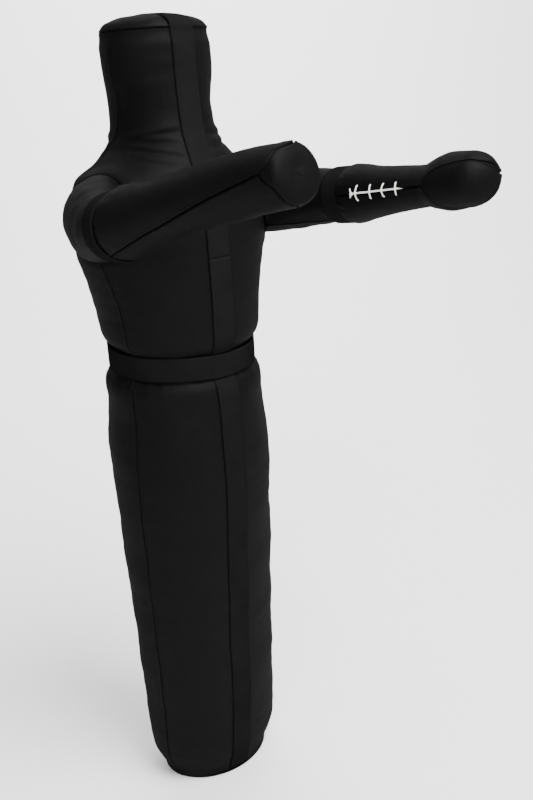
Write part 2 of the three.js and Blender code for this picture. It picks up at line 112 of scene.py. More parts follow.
KEY_POWER = 620  # watts, for this and the next two
FRONT_POWER = 160
BACKDROP_POWER = 500
SURROUND = 0.45  # strength of the even light from all round


def make_camera():
    """The photograph's view: from the front on the dummy's right, at neck height, looking down."""
    data = bpy.data.cameras.new("camera")
    data.sensor_fit = "VERTICAL"
    data.sensor_height = 36
    data.lens = CAMERA_LENS
    camera = bpy.data.objects.new("camera", data)
    bpy.context.scene.collection.objects.link(camera)
    forward = Vector(
        (
            math.sin(CAMERA_HEADING) * math.cos(CAMERA_PITCH),
            math.cos(CAMERA_HEADING) * math.cos(CAMERA_PITCH),
            -math.sin(CAMERA_PITCH),
        )
    )
    level = Vector((math.cos(CAMERA_HEADING), -math.sin(CAMERA_HEADING), 0))
    down = forward.cross(level)
    right = math.cos(CAMERA_ROLL) * level + math.sin(CAMERA_ROLL) * down
    below = math.cos(CAMERA_ROLL) * down - math.sin(CAMERA_ROLL) * level
    turn = Matrix((right, -below, -forward)).transposed()
    camera.matrix_world = Matrix.Translation(CAMERA_PLACE) @ turn.to_4x4()
    bpy.context.scene.camera = camera


def make_light(name, place, target, size, power):
    data = bpy.data.lights.new(name, "AREA")
    data.shape = "RECTANGLE"
    data.size, data.size_y = size
    data.energy = power
    light = bpy.data.objects.new(name, data)
    bpy.context.scene.collection.objects.link(light)
    light.location = place
    aim = Vector(target) - Vector(place)
    light.rotation_euler = aim.to_track_quat("-Z", "Y").to_euler()


def make_studio():
    """Large soft boxes above and in front, a dim surround, and a pale floor that they light evenly."""
    make_light("key", (0.6, -2.2, 4.6), (0, 0, 1.0), (2.6, 2.6), KEY_POWER)
    make_light("front", (-3.4, -3.4, 3.2), (0, 0, 1.2), (2.0, 2.4), FRONT_POWER)
    make_light("backdrop", (1.5, 2.6, 4.8), (3.2, 4.6, 1.5), (5.0, 2.0), BACKDROP_POWER)

    world = bpy.data.worlds.new("studio")
    bpy.context.scene.world = world
    world.use_nodes = True
    background = world.node_tree.nodes["Background"]
    background.inputs["Color"].default_value = (0.80, 0.80, 0.80, 1)
    background.inputs["Strength"].default_value = SURROUND

    material = bpy.data.materials.new("pale_floor")
    material.use_nodes = True
    shader = material.node_tree.nodes["Principled BSDF"]
    shader.inputs["Base Color"].default_value = (0.90, 0.90, 0.90, 1)
    shader.inputs["Roughness"].default_value = 0.9
    make_sweep(material)


def make_sweep(material):
    """A floor that curves up behind the dummy into a backdrop."""
    half, near, far, bend, top = 9.0, -6.0, 3.0, 2.5, 6.0
    profile = [(near, 0.0), (far, 0.0)]
    for turn in np.linspace(0, math.pi / 2, 25)[1:]:
        profile.append((far + bend * math.sin(turn), bend * (1 - math.cos(turn))))
    profile.append((far + bend, top))
    heading = Vector((math.sin(CAMERA_HEADING), math.cos(CAMERA_HEADING), 0))
    side = Vector((heading.y, -heading.x, 0))
    vertices = []
    for away, height in profile:
        for across in (-half, half):
            vertices.append(heading * away + side * across + Vector((0, 0, height)))
    faces = [(2 * i, 2 * i + 1, 2 * i + 3, 2 * i + 2) for i in range(len(profile) - 1)]
    floor = make_piece("floor", vertices, faces, material)


# ------------------------------------------------------------------ materials


class Nodes:
    """A short way to write a material's node tree."""

    def __init__(self, name):
        self.material = bpy.data.materials.new(name)
        self.material.use_nodes = True
        self.tree = self.material.node_tree
        self.shader = self.tree.nodes["Principled BSDF"]

    def add(self, kind, **settings):
        node = self.tree.nodes.new(kind)
        for key, value in settings.items():
            if key in node.inputs:
                node.inputs[key].default_value = value
            else:
                setattr(node, key, value)
        return node

    def link(self, source, target):
        self.tree.links.new(source, target)

    def noise(self, where, scale, detail=2.0, roughness=0.5):
        node = self.add("ShaderNodeTexNoise")
        node.inputs["Scale"].default_value = scale
        node.inputs["Detail"].default_value = detail
        node.inputs["Roughness"].default_value = roughness
        self.link(where, node.inputs["Vector"])
        return node.outputs["Fac"]

    def ramp(self, value, low, high, out_low, out_high):
        node = self.add("ShaderNodeMapRange")
        node.inputs["From Min"].default_value = low
        node.inputs["From Max"].default_value = high
        node.inputs["To Min"].default_value = out_low
        node.inputs["To Max"].default_value = out_high
        self.link(value, node.inputs["Value"])
        return node.outputs["Result"]

    def math(self, operation, a, b):
        node = self.add("ShaderNodeMath", operation=operation)
        for socket, value in zip(node.inputs, (a, b)):
            if isinstance(value, (int, float)):
                socket.default_value = value
            else:
                self.link(value, socket)
        return node.outputs["Value"]

    def mix_colour(self, fac, dark, light):
        node = self.add("ShaderNodeMix", data_type="RGBA")
        self.link(fac, node.inputs[0])
        node.inputs[6].default_value = (*dark, 1)
        node.inputs[7].default_value = (*light, 1)
        return node.outputs[2]

    def bump(self, height, strength, distance, normal=None):
        node = self.add("ShaderNodeBump")
        node.inputs["Strength"].default_value = strength
        node.inputs["Distance"].default_value = distance
        self.link(height, node.inputs["Height"])
        if normal is not None:
            self.link(normal, node.inputs["Normal"])
        return node.outputs["Normal"]


def leather_material(name, tone=0.0034, gloss=0.45, coat=0.07):
    """Near-black leather: fine pebble grain, soft creases, and a sheen that varies in broad patches."""
    n = Nodes(name)
    place = n.add("ShaderNodeTexCoord").outputs["Object"]
    patches = n.noise(place, 7.0, 3.0)
    fine = n.noise(place, 60.0, 4.0, 0.6)

    pebbles = n.add("ShaderNodeTexVoronoi", feature="DISTANCE_TO_EDGE")
    pebbles.inputs["Scale"].default_value = 620.0
    n.link(place, pebbles.inputs["Vector"])
    grain = n.ramp(pebbles.outputs["Distance"], 0.0, 0.28, 0.0, 1.0)
    pores = n.noise(place, 1400.0, 2.0)

    dark = (tone * 0.82, tone * 0.82, tone * 0.84)
    light = (tone * 1.25, tone * 1.24, tone * 1.24)
    n.link(n.mix_colour(patches, dark, light), n.shader.inputs["Base Color"])

    rough = n.ramp(patches, 0.3, 0.7, gloss - 0.04, gloss + 0.06)
    rough = n.math("ADD", rough, n.ramp(fine, 0.3, 0.7, -0.03, 0.03))
    n.link(rough, n.shader.inputs["Coat Roughness"])
    n.shader.inputs["Roughness"].default_value = 0.9
    n.shader.inputs["Specular IOR Level"].default_value = 0.0
    n.shader.inputs["Coat Weight"].default_value = coat

    broad = n.bump(n.noise(place, 24.0, 4.0, 0.55), 0.16, 0.004)
    height = n.math("ADD", grain, n.math("MULTIPLY", pores, 0.35))
    surface = n.bump(height, 0.40, 0.0005, broad)
    n.link(surface, n.shader.inputs["Normal"])
    n.link(surface, n.shader.inputs["Coat Normal"])
    return n.material


def webbing_material(name, tone=0.0060):
    """Matt black webbing: ribs across it and fine yarns along it, from the strap's own coordinates."""
    n = Nodes(name)
    strip = n.add("ShaderNodeSeparateXYZ")
    n.link(n.add("ShaderNodeTexCoord").outputs["UV"], strip.inputs["Vector"])
    across, along = strip.outputs["X"], strip.outputs["Y"]
    yarn = n.math("SINE", n.math("MULTIPLY", across, 2 * math.pi / YARN_PITCH), 0.0)
    rib = n.math("SINE", n.math("MULTIPLY", along, 2 * math.pi / RIB_PITCH), 0.0)
    weave = n.math("MULTIPLY", yarn, rib)
    place = n.add("ShaderNodeTexCoord").outputs["Object"]
    fuzz = n.noise(place, 900.0, 3.0)
    patches = n.noise(place, 12.0, 2.0)
    dark = (tone * 0.8, tone * 0.8, tone * 0.82)
    light = (tone * 1.3, tone * 1.3, tone * 1.32)
    n.link(n.mix_colour(patches, dark, light), n.shader.inputs["Base Color"])
    n.link(n.ramp(fuzz, 0.3, 0.7, 0.74, 0.9), n.shader.inputs["Roughness"])
    n.shader.inputs["Specular IOR Level"].default_value = 0.0
    height = n.math("ADD", n.math("MULTIPLY", weave, 0.5), fuzz)
    n.link(n.bump(height, 0.35, 0.0005), n.shader.inputs["Normal"])
    return n.material


def lace_material(name):
    """Off-white woven lace with a diagonal braid."""
    n = Nodes(name)
    place = n.add("ShaderNodeTexCoord").outputs["Object"]
    braid = n.add("ShaderNodeTexWave", wave_type="BANDS", bands_direction="DIAGONAL")
    braid.inputs["Scale"].default_value = 260.0
    braid.inputs["Distortion"].default_value = 1.5
    n.link(place, braid.inputs["Vector"])
    dirt = n.noise(place, 90.0, 3.0)
    n.link(n.mix_colour(dirt, (0.74, 0.73, 0.70), (0.90, 0.89, 0.87)), n.shader.inputs["Base Color"])
    n.link(n.ramp(dirt, 0.3, 0.7, 0.75, 0.9), n.shader.inputs["Roughness"])
    n.link(n.bump(braid.outputs["Fac"], 0.5, 0.0006), n.shader.inputs["Normal"])
    return n.material


# ------------------------------------------------------------------ helpers for sheets


def unit(vectors):
    return vectors / np.maximum(np.linalg.norm(vectors, axis=-1, keepdims=True), 1e-12)


def grid_normals(points):
    """Normals of a grid of points (rows, columns, 3), columns to the left of rows."""
    along = np.gradient(points, axis=0)
    across = np.gradient(points, axis=1)
    return unit(np.cross(across, along))


def ring_normals(points):
    """Normals of a grid whose last column is next to its first."""
    return grid_normals(np.concatenate([points, points[:, :1]], axis=1))[:, :-1]


def full_turn(count):
    """That many angles all the way round, in degrees."""
    return np.linspace(0, 360, count + 1)[:-1]


def hermite(t, span, start, end, leave, arrive):
    """A cubic from start to end with the slopes leave and arrive, for t from 0 to 1 over the span."""
    first = start * (1 + 2 * t) * (1 - t) ** 2 + leave * span * t * (1 - t) ** 2
    last = end * t * t * (3 - 2 * t) + arrive * span * t * t * (t - 1)
    return first + last


def waves(points, length, seed, stretch=(1, 1, 1), count=9):
    """Smooth seeded noise from -1 to 1, with features about that long."""
    rng = np.random.default_rng(seed)
    total = np.zeros(points.shape[:-1])
    scaled = points / (np.array(stretch) * length)
    for _ in range(count):
        direction = unit(rng.normal(size=3))
        pace = rng.uniform(0.6, 1.5)
        total += np.sin(2 * np.pi * (pace * (scaled @ direction) + rng.uniform()))
    return total / math.sqrt(count * 0.5) / 1.6


def seam_profile(distance):
    """How far the leather stands in or out at a distance from a seam."""
    groove = -GROOVE_DEPTH * np.exp(-((distance / GROOVE_WIDTH) ** 2))
    ridge = RIDGE_RISE * np.exp(-(((distance - RIDGE_PLACE) / RIDGE_WIDTH) ** 2))
    return groove + ridge


def spread(length, step, fine_start=True, fine_end=True):
    """Shares from 0 to 1 along a length, closer together at the ends that are sewn."""
    near = np.array([0.0, 0.0008, 0.0016, 0.0026, 0.004, 0.006, 0.0088, 0.0125])
    start = near if fine_start else np.array([0.0])
    end = length - near[::-1] if fine_end else np.array([length])
    count = max(2, int(round((end[0] - start[-1]) / step)))
    middle = np.linspace(start[-1], end[0], count + 1)[1:-1]
    return np.concatenate([start, middle, end]) / length


def arc_lengths(points, axis):
    """Distance along a grid's lines, from their first point."""
    steps = np.linalg.norm(np.diff(points, axis=axis), axis=-1)
    zero = np.zeros_like(np.take(steps, [0], axis=axis))
    return np.concatenate([zero, np.cumsum(steps, axis=axis)], axis=axis)


def make_piece(name, vertices, faces, material, uv=None, smooth_faces=None):
    """A mesh, smooth all over or only on its first faces, when the rest are cut edges."""
    mesh = bpy.data.meshes.new(name)
    mesh.from_pydata([tuple(v) for v in vertices], [], faces)
    mesh.materials.append(material)
    if uv is not None:
        layer = mesh.uv_layers.new(name="UVMap")
        index = np.zeros(len(mesh.loops), np.int32)
        mesh.loops.foreach_get("vertex_index", index)
        layer.data.foreach_set("uv", uv[index].astype(np.float32).ravel())
    smooth_count = len(faces) if smooth_faces is None else smooth_faces
    smooth = [i < smooth_count for i in range(len(faces))]
    mesh.polygons.foreach_set("use_smooth", smooth)
    mesh.update()
    piece = bpy.data.objects.new(name, mesh)
    bpy.context.scene.collection.objects.link(piece)
    return piece


def sheet_piece(name, outer, thickness, material, wrap=False, normals=None):
    """A closed sheet of that thickness below a grid of outer points (rows, columns, 3)."""
    if normals is None:
        normals = grid_normals(outer)
    rows, columns = outer.shape[:2]
    inner = outer - normals * thickness
    vertices = np.concatenate([outer.reshape(-1, 3), inner.reshape(-1, 3)])
    index = np.arange(rows * columns).reshape(rows, columns)
    if wrap:
        index = np.concatenate([index, index[:, :1]], axis=1)
    low = index + rows * columns
    a, b, c, d = index[:-1, :-1], index[:-1, 1:], index[1:, 1:], index[1:, :-1]
    faces = [np.stack([a, b, c, d], -1).reshape(-1, 4)]
    e, f, g, h = low[:-1, :-1], low[:-1, 1:], low[1:, 1:], low[1:, :-1]
    faces.append(np.stack([e, h, g, f], -1).reshape(-1, 4))
    smooth_faces = len(faces[0]) + len(faces[1])

    def rim(line, under):
        return np.stack([line[1:], line[:-1], under[:-1], under[1:]], -1)

    faces.append(rim(index[0], low[0]))
    faces.append(rim(index[-1][::-1], low[-1][::-1]))
    if not wrap:
        faces.append(rim(index[::-1, 0], low[::-1, 0]))
        faces.append(rim(index[:, -1], low[:, -1]))
    across = arc_lengths(outer, 1)
    along = arc_lengths(outer, 0)
    uv = np.stack([across, along], -1).reshape(-1, 2)
    uv = np.concatenate([uv, uv])
    all_faces = np.concatenate(faces).tolist()
    return make_piece(name, vertices, all_faces, material, uv, smooth_faces)


# ------------------------------------------------------------------ the body's surface


def cubic_through(x, y):
    """A smooth curve through points, with no overshoot."""
    x, y = np.array(x), np.array(y)
    span = np.diff(x)
    rise = np.diff(y) / span
    slope = np.zeros_like(y)
    both = rise[:-1] * rise[1:] > 0
    slope[1:-1][both] = 2 * rise[:-1][both] * rise[1:][both] / (rise[:-1] + rise[1:])[both]

    def value(at):
        at = np.clip(np.asarray(at, float), x[0], x[-1])
        i = np.clip(np.searchsorted(x, at) - 1, 0, len(span) - 1)
        t = (at - x[i]) / span[i]
        return hermite(t, span[i], y[i], y[i + 1], slope[i], slope[i + 1])

    return value


def read_body_profile():
    """Half width and half depth of the body at each ring of its fillings, out to the leather."""
    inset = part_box("waist_gather")[1].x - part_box("waist_filling")[1].x
    rings = {}
    for name in ("leg_filling", "waist_filling", "torso_filling", "neck_filling", "head_filling"):
        for vertex in frame["nodes"][name].data.vertices:
            x, y, z = vertex.co
            rings.setdefault(round(z, 3), set()).add((round(abs(x), 5), round(y, 5)))
    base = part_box("base_panel")[1]
    heights, widths, depths = [0.0], [base.x], [base.y]
    for z in sorted(rings):
        behind = np.array([p for p in rings[z] if p[1] > 0.02])
        if len(behind) < 6 or z - heights[-1] < 0.008:
            continue
        depth = behind[:, 1].max()
        side = behind[behind[:, 1] < 0.9 * depth]
        width = np.median(side[:, 0] / np.sqrt(1 - (side[:, 1] / depth) ** 2))
        heights.append(z)
        widths.append(width + inset)
        depths.append(depth + inset)
    return cubic_through(heights, widths), cubic_through(heights, depths)


body_width, body_depth = read_body_profile()


def body_grid(degrees, heights):
    """Points on the plain body for matching arrays of angles and heights."""
    angle = np.radians(degrees)
    x = body_width(heights) * np.sin(angle)
    y = -body_depth(heights) * np.cos(angle)
    return np.stack([x, y, heights], -1)


def side_seam(heights):
    """Angle of the seam between front and back at each height."""
    marks = [0.0, 1.28, 1.33, 1.43, 1.468, 1.495, 1.545, 1.60, 1.67, 1.80]
    angles = [SIDE_SEAM, SIDE_SEAM, 72, 96, SHOULDER_SEAM, 104, 91, HEAD_SEAM, 83, 86]
    return cubic_through(marks, angles)(heights)


def belt_shape(z):
    """Displacement of the leather near the belt: drawn in below it and full above and below."""
    inside = (z > BELT_LOW - 0.002) & (z < BELT_HIGH + 0.002)
    away = np.where(z < WAIST, BELT_LOW - z, z - BELT_HIGH)
    full = 0.0045 * np.exp(-(((away - 0.030) / 0.028) ** 2))
    drawn = -BELT_TUCK * np.exp(-((np.maximum(away, 0) / 0.009) ** 2))
    return np.where(inside, -BELT_TUCK, full + drawn)


def belt_puckers(points, z, seed):
    """Short folds that run up and down from the belt's edges."""
    away = np.maximum(np.where(z < WAIST, BELT_LOW - z, z - BELT_HIGH), 0)
    fold = waves(points, 0.034, seed, stretch=(1, 1, 6))
    fold += 0.5 * waves(points, 0.018, seed + 1, stretch=(1, 1, 5))
    below = np.where(z < WAIST, 1.0, 0.45)
    return 0.0020 * below * fold * np.exp(-((away / 0.030) ** 1.5))


def armhole_shape(points):
    """Displacement near the armholes: a sewn groove, and the leather sunk inside the sleeve."""
    shape = np.zeros(points.shape[:-1])
    for name in ("right_shoulder_raise", "left_shoulder_raise"):
        centre = np.array(Vector(joints[name]["pos_m"]) + ARMHOLE_SHIFT)
        away = np.linalg.norm(points - centre, axis=-1) - ARMHOLE_RADIUS
        sewn = seam_profile(np.abs(away)) + 0.0018 * np.exp(-(((away - 0.014) / 0.012) ** 2))
        sunk = -0.003 + 0.35 * np.minimum(away, 0)
        shape += np.where(away > 0, sewn, np.maximum(sunk, -0.016))
    return shape


# Each fold of the neck: angle and height of both its ends, and its rise.
NECK_FOLDS = [
    ((-10, 1.548), (-66, 1.534), 0.0030),
    ((-12, 1.524), (-74, 1.532), 0.0036),
    ((-10, 1.498), (-70, 1.520), 0.0032),
    ((-18, 1.482), (-60, 1.502), 0.0020),
    ((10, 1.540), (70, 1.528), 0.0028),
    ((12, 1.512), (66, 1.520), 0.0026),
    ((-176, 1.535), (-112, 1.528), 0.0024),
    ((176, 1.522), (116, 1.530), 0.0024),
]
FOLD_WIDTH = 0.0080


def neck_folds(points, z):
    """Folds where the neck meets the shoulders: ridges with a sharp crease below each."""
    degrees = np.degrees(np.arctan2(points[..., 0], -points[..., 1]))
    relief = 0.0008 * np.exp(-(((z - 1.51) / 0.04) ** 2)) * waves(points, 0.030, 71, stretch=(3.5, 3.5, 1))
    for (from_angle, from_z), (to_angle, to_z), rise in NECK_FOLDS:
        share = (degrees - from_angle) / (to_angle - from_angle)
        taper = np.sin(np.pi * np.clip(share, 0, 1)) ** 0.8
        away = (z - (from_z + (to_z - from_z) * share)) / FOLD_WIDTH
        crease = np.exp(-(((away + 1.25) / 0.55) ** 2))
        relief += rise * taper * (np.exp(-(away**2)) - 0.9 * crease)
    return relief


def broad_relief(points, z):
    """The slow unevenness of the filling, which the straps follow too."""
    return belt_shape(z) + 0.0014 * waves(points, 0.17, 6)


def body_relief(points, z, to_seam):
    """All displacement of the body's leather."""
    relief = seam_profile(to_seam)
    pucker = waves(points, 0.020, 5, stretch=(1.6, 1.6, 0.7))
    relief += 0.0004 * pucker * np.exp(-to_seam / 0.014)
    relief += 0.0006 * waves(points, 0.055, 7, stretch=(2.6, 2.6, 0.7))
    relief += belt_puckers(points, z, 8)
    relief += armhole_shape(points)
    relief += neck_folds(points, z)
    under_strap = np.exp(-((np.abs(points[..., 0]) / (STRAP * 0.56)) ** 8))
    relief = relief * (1 - under_strap) - 0.0012 * under_strap
    return relief + broad_relief(points, z)


def heights_between(low, high, fine_low, fine_high, step):
    return low + (high - low) * spread(high - low, step, fine_low, fine_high)


def body_panel(name, side, front, low, high, ends, step):
    """One leather panel from a centre line of the body to the side seam."""
    z = heights_between(low, high, ends[0], ends[1], step)
    seam = side_seam(z)
    length = np.radians(SIDE_SEAM if front else 180 - SIDE_SEAM) * BODY_RADIUS
    across = spread(length, step)
    if front:
        start, end = np.zeros_like(seam), seam
    else:
        start, end = seam, np.full_like(seam, 180.0)
    degrees = start[:, None] + (end - start)[:, None] * across[None, :]
    degrees = degrees * side
    heights = np.repeat(z[:, None], degrees.shape[1], axis=1)
    if side < 0:
        degrees = degrees[:, ::-1]
    points = body_grid(degrees, heights)
    normals = grid_normals(points)
    run = arc_lengths(points, 1)
    total = run[:, -1:]
    to_seam = np.minimum(run, total - run)
    relief = body_relief(points, heights, to_seam)
    points = points + normals * relief[..., None]
    return sheet_piece(name, points, LEATHER, LEATHER_MATERIAL)


# ------------------------------------------------------------------ building the body

LEATHER_MATERIAL = leather_material("black_leather")
WEBBING_MATERIAL = webbing_material("black_webbing")
LACE_MATERIAL = lace_material("off_white_lace")

WAIST_SPAN = ((0, 0, WAIST_LOW), (0, 0, WAIST_HIGH))
NECK_SPAN = ((0, 0, NECK_LOW), (0, 0, NECK_HIGH))


def finish_piece(piece, nodes, bodies=None, body=None):
    """Hide the replaced nodes; a piece that spans two bodies is fixed in place, otherwise it is attached
    to its one body.
    """
    if nodes:
        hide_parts(*nodes)
    if bodies:
        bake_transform(piece)
    else:
        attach(piece, body)


# Each stretch of the body's leather: the start of its name, its heights, whether its rows are fine at
# either end, its step, the two bodies that it lies across, and the stretch of the joint between them.
STRETCHES = [
    ("leg", BASE_TOP, WAIST, (True, False), 0.006, ("leg", "torso"), WAIST_SPAN),
    ("torso", WAIST, CHEST_SPLIT, (False, True), 0.005, ("leg", "torso"), WAIST_SPAN),
    ("head", CHEST_SPLIT, CAP_LOW, (True, True), 0.0032, ("torso", "head"), NECK_SPAN),
]
# The inner nodes that the front right panel of each stretch stands for as well.
INNER_NODES = {
    "leg": ["leg_filling"],
    "torso": ["waist_gather", "waist_filling", "torso_filling"],
    "head": ["neck_filling", "neck_wrap", "head_filling"],
}


def make_body_panels():
    for side_name, side in (("right", -1), ("left", 1)):
        for place in ("front", "back"):
            make_body_column(place, side_name, side)


def make_body_column(place, side_name, side):
    """The leather of one quarter of the body, from the base to the cap."""
    front = place == "front"
    for part, low, high, ends, step, bodies, span in STRETCHES:
        name = f"{part}_{place}_{side_name}"
        panel = body_panel(f"{name}_leather", side, front, low, high, ends, step)
        nodes = [f"{name}_panel"]
        if front and side < 0:
            nodes += INNER_NODES[part]
        finish_piece(panel, nodes, bodies)


def make_base():
    """The flat base panel: a shallow disc with a soft rim."""
    shares = np.concatenate([np.linspace(0.02, 0.9, 14), [0.94, 0.97, 0.99, 1.0]])
    angle = np.radians(full_turn(120))
    width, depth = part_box("base_panel")[1].x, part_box("base_panel")[1].y
    scale = np.repeat(shares[:, None], len(angle), axis=1)
    x = width * scale * np.sin(angle)
    y = -depth * scale * np.cos(angle)
    z = 0.0022 * np.clip((scale - 0.93) / 0.07, 0, 1) ** 2
    points = np.stack([x, y, z], -1)[::-1]
    down = np.zeros_like(points)
    down[..., 2] = -1
    piece = sheet_piece("base_leather", points, LEATHER, LEATHER_MATERIAL, wrap=True, normals=down)
    finish_piece(piece, ["base_panel"], body="leg")


def dome_scale(rise):
    """How far the dome reaches out at a share of its height."""
    return np.sqrt(np.clip(1 - rise**DOME_POWER, 0, 1))


def make_cap():
    """The domed panel on top of the head, sewn all round."""
    height = CAP_TOP - CAP_LOW
    lean = np.linspace(0, 1, 44) ** 1.15
    rise = np.sin(lean * np.pi / 2)
    scale = dome_scale(rise)
    scale[-1] = 0.004
    degrees = full_turn(180)
    edge = body_grid(degrees, np.full_like(degrees, CAP_LOW))
    points = edge[None, :, :] * scale[:, None, None]
    points[..., 2] = CAP_LOW + (rise * height)[:, None]
    normals = ring_normals(points)
    run = arc_lengths(points, 0)
    relief = seam_profile(run) + 0.0008 * waves(points, 0.05, 41)
    points = points + normals * (relief * np.clip(scale * 4, 0, 1)[:, None])[..., None]
    piece = sheet_piece("head_cap_leather", points, LEATHER, LEATHER_MATERIAL, True, normals)
    finish_piece(piece, ["head_cap_panel"], body="head")


# ------------------------------------------------------------------ straps


def strap_lift(points, shares):
    """Height of a strap's outer face over the plain body, less at its edges."""
    fall = WEBBING_ROUNDING * np.clip((np.abs(shares)[None, :] - 0.93) / 0.07, 0, 1) ** 2
    lift = STRAP_LIFT + WEBBING + broad_relief(points, points[..., 2]) + 0.0003 * waves(points, 0.03, 9)
    return (lift - fall)[..., None]


def body_strap(name, centre, low, high):
    z = heights_between(low, high, False, False, STRAP_STEP)
    shares = np.linspace(-1, 1, STRAP_COLUMNS)
    half = np.degrees(np.arcsin(STRAP / 2 / body_width(z)))
    degrees = centre + half[:, None] * shares[None, :]
    heights = np.repeat(z[:, None], len(shares), axis=1)
    points = body_grid(degrees, heights)
    points = points + grid_normals(points) * strap_lift(points, shares)
    return sheet_piece(name, points, WEBBING, WEBBING_MATERIAL)


def head_strap():
    """The strap from the chest up the face, over the cap and down the back of the head."""
    shares = np.linspace(-1, 1, STRAP_COLUMNS)
    x = shares * STRAP / 2
    rows = []
    for z in np.linspace(CHEST_SPLIT, CAP_LOW, 90)[:-1]:
        half = np.arcsin(x / body_width(z))
        rows.append(np.stack([x, -body_depth(z) * np.cos(half), np.full_like(x, z)], -1))
    edge_depth, edge_width = body_depth(CAP_LOW), body_width(CAP_LOW)
    height = CAP_TOP - CAP_LOW
    for rise in np.sin(np.linspace(0, 1, 26) * np.pi / 2):
        reach = np.sqrt(np.clip((1 - rise**DOME_POWER) - (x / edge_width) ** 2, 0, 1))
        drop = (x / edge_width) ** 2 * 0.5 * height * rise
        rows.append(np.stack([x, -edge_depth * reach, CAP_LOW + height * rise - drop], -1))
    front = np.array(rows)
    back = front[::-1][1:].copy()
    back[..., 1] *= -1
    points = np.concatenate([front, back])
    normals = grid_normals(points)
    points = points + normals * strap_lift(points, shares)
    return sheet_piece("strap_upper_webbing", points, WEBBING, WEBBING_MATERIAL, normals=normals)


def make_straps():
    for place, centre in (("front", 0), ("back", 180)):
        lower = body_strap(f"strap_{place}_leg_webbing", centre, STRAP_START, WAIST)
        finish_piece(lower, [f"leg_{place}_strap"], ("leg", "torso"))
        name = "chest_strap" if centre == 0 else "back_strap"
        upper = body_strap(f"strap_{place}_waist_webbing", centre, WAIST, CHEST_SPLIT)
        finish_piece(upper, [name], ("leg", "torso"))
    piece = head_strap()
    finish_piece(piece, ["head_strap"], ("torso", "head"))


def make_belt():
    """The waist belt, pulled tight over the strap and the leather."""
    degrees = full_turn(240)
    shares = np.linspace(0, 1, 17)
    z = BELT_LOW + (BELT_HIGH - BELT_LOW) * shares
    grid_z = np.repeat(z[:, None], len(degrees), axis=1)
    angle = np.radians(degrees)[None, :]
    over_strap = np.exp(-((body_width(WAIST) * np.sin(angle) / (STRAP / 2)) ** 8))
    lift = 0.0022 + 0.0018 * over_strap
    lift = lift + 0.0010 * np.sin(2 * angle + 1.0) * (shares[:, None] - 0.5)
    width = body_width(WAIST) + lift
    depth = body_depth(WAIST) + lift
    points = np.stack([width * np.sin(angle), -depth * np.cos(angle), grid_z], -1)
    points[..., 2] += 0.0012 * waves(points, 0.25, 3)
    piece = sheet_piece("waist_belt_webbing", points, WEBBING, WEBBING_MATERIAL, wrap=True)
    finish_piece(piece, ["waist_belt"], ("leg", "torso"))


# ------------------------------------------------------------------ arms

LIMB_INSET = 0.0038  # from the filling of an arm out to the leather's outer face
ROOT = -0.012  # the forearm's leather starts this far from the elbow, inside the band
ROOT_EDGE = 0.019  # the leather comes out of the band this far from the elbow
ROOT_TUCK = 0.006  # how much narrower than the band the leather is inside it
ROOT_TURN = 0.016  # length over which the leather swells out of the band
ROOT_SETTLE = 0.060  # length over which it settles to the forearm's own girth
ELBOW_SPAN = (-0.01, 0.06)  # distances from the elbow, along the forearm
SHOULDER_SPAN = (0.01, 0.14)  # and from the shoulder
# Length and squareness of the hand's rounded end.
HAND = {
    "right": {"cap": 0.0265, "square": 4.2},
    "left": {"cap": 0.0455, "square": 2.38},
}
# How far the forearm's middle line lies above the straight line to the tip, by distance from the elbow.
BOW = {
    "right": [(0, 0.0), (0.10, 0.003), (0.23, 0.005), (0.35, 0.004), (0.46, 0.0)],
    "left": [(0, 0.0), (0.11, -0.0015), (0.21, -0.002), (0.31, -0.001), (0.39, 0.0)],
}
SLEEVE_SEAM = -62.0  # degrees from the inner side, so on the underside

# Where the palm panel starts: angle from the inner side, share of the forearm's outline.
PALM_EDGE = {
    "right": [
        (0, 0.668), (15, 0.680), (30, 0.722), (38, 0.775), (46, 0.835), (65, 0.885), (95, 0.922),
        (116, 0.918), (130, 0.907), (154, 0.895), (163, 0.884), (172, 0.862), (188, 0.884),
        (204, 0.902), (253, 0.905), (285, 0.860), (307, 0.735), (322, 0.700), (345, 0.674), (360, 0.668),
    ],
    "left": [
        (0, 0.661), (8, 0.667), (30, 0.742), (40, 0.826), (45, 0.880), (67, 0.935), (100, 0.951),
        (200, 0.950), (250, 0.923), (290, 0.781), (307, 0.732), (322, 0.710), (352, 0.672), (360, 0.661),
    ],
}
CORNER_ANGLE, CORNER_SHARE = 172.0, 0.862  # where the lower seam meets the palm panel
# Where the lower seam runs: share of the outline, angle from the inner side.
LOWER_SEAM = [(0, 238), (0.10, 229), (0.35, 214), (0.63, 191), (0.80, 178), (0.862, 172)]


class ArmFrame:
    """Axes with Z along a piece of the arm, X level and Y up."""

    def __init__(self, start, direction):
        self.origin = np.array(start)
        self.z = unit(np.array(direction, float))
        self.x = unit(np.cross([0, 0, 1.0], self.z))
        self.y = np.cross(self.z, self.x)

    def place(self, x, y, z):
        pairs = ((x, self.x), (y, self.y), (z, self.z))
        return self.origin + sum(np.asarray(c, float)[..., None] * axis for c, axis in pairs)

    def local(self, points):
        away = np.asarray(points) - self.origin
        return away @ self.x, away @ self.y, away @ self.z


